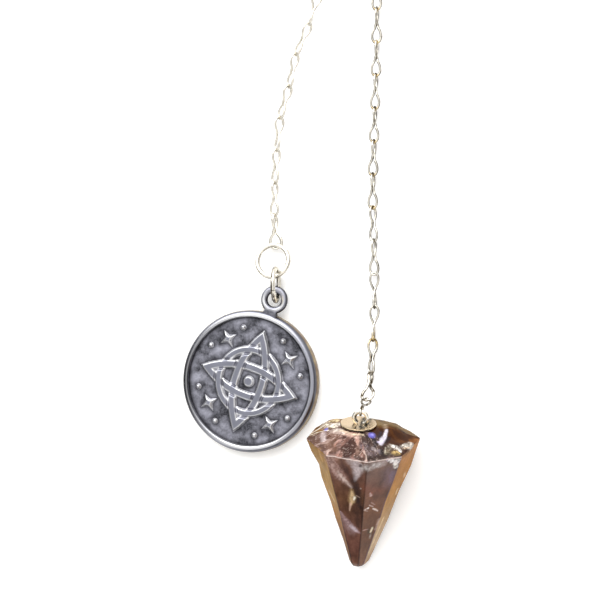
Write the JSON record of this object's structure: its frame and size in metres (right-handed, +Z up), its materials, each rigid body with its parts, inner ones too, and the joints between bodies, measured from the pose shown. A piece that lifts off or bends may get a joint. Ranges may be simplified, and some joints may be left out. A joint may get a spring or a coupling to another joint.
{
  "type": "dowsing pendulum",
  "caption": "Faceted smoky quartz point with a capped crown, a fine figure-eight link chain and a round cast medal on jump rings, laid out flat.",
  "frame": {"origin": "middle of the whole layout's underside, on the surface that it lies on", "axes": "+Z up off the surface, +Y from the stone's tip towards the far end of the folded chain, the stone on the +X side and the medal on the -X side"},
  "size_m": [0.042, 0.126, 0.0158],
  "materials": {
    "smoky_quartz": "polished facets, translucent brown with cloudy veils inside",
    "silver_plate": "bright plated wire, slightly warm",
    "antiqued_pewter": "cast, bright on the high parts and darkened in the field"
  },
  "bodies": {
    "root": {"stone": "smoky_quartz", "cap": "silver_plate", "chain": "silver_plate", "flat_ring": "silver_plate", "standing_ring": "silver_plate", "medal": "antiqued_pewter"}
  },
  "joints": []
}
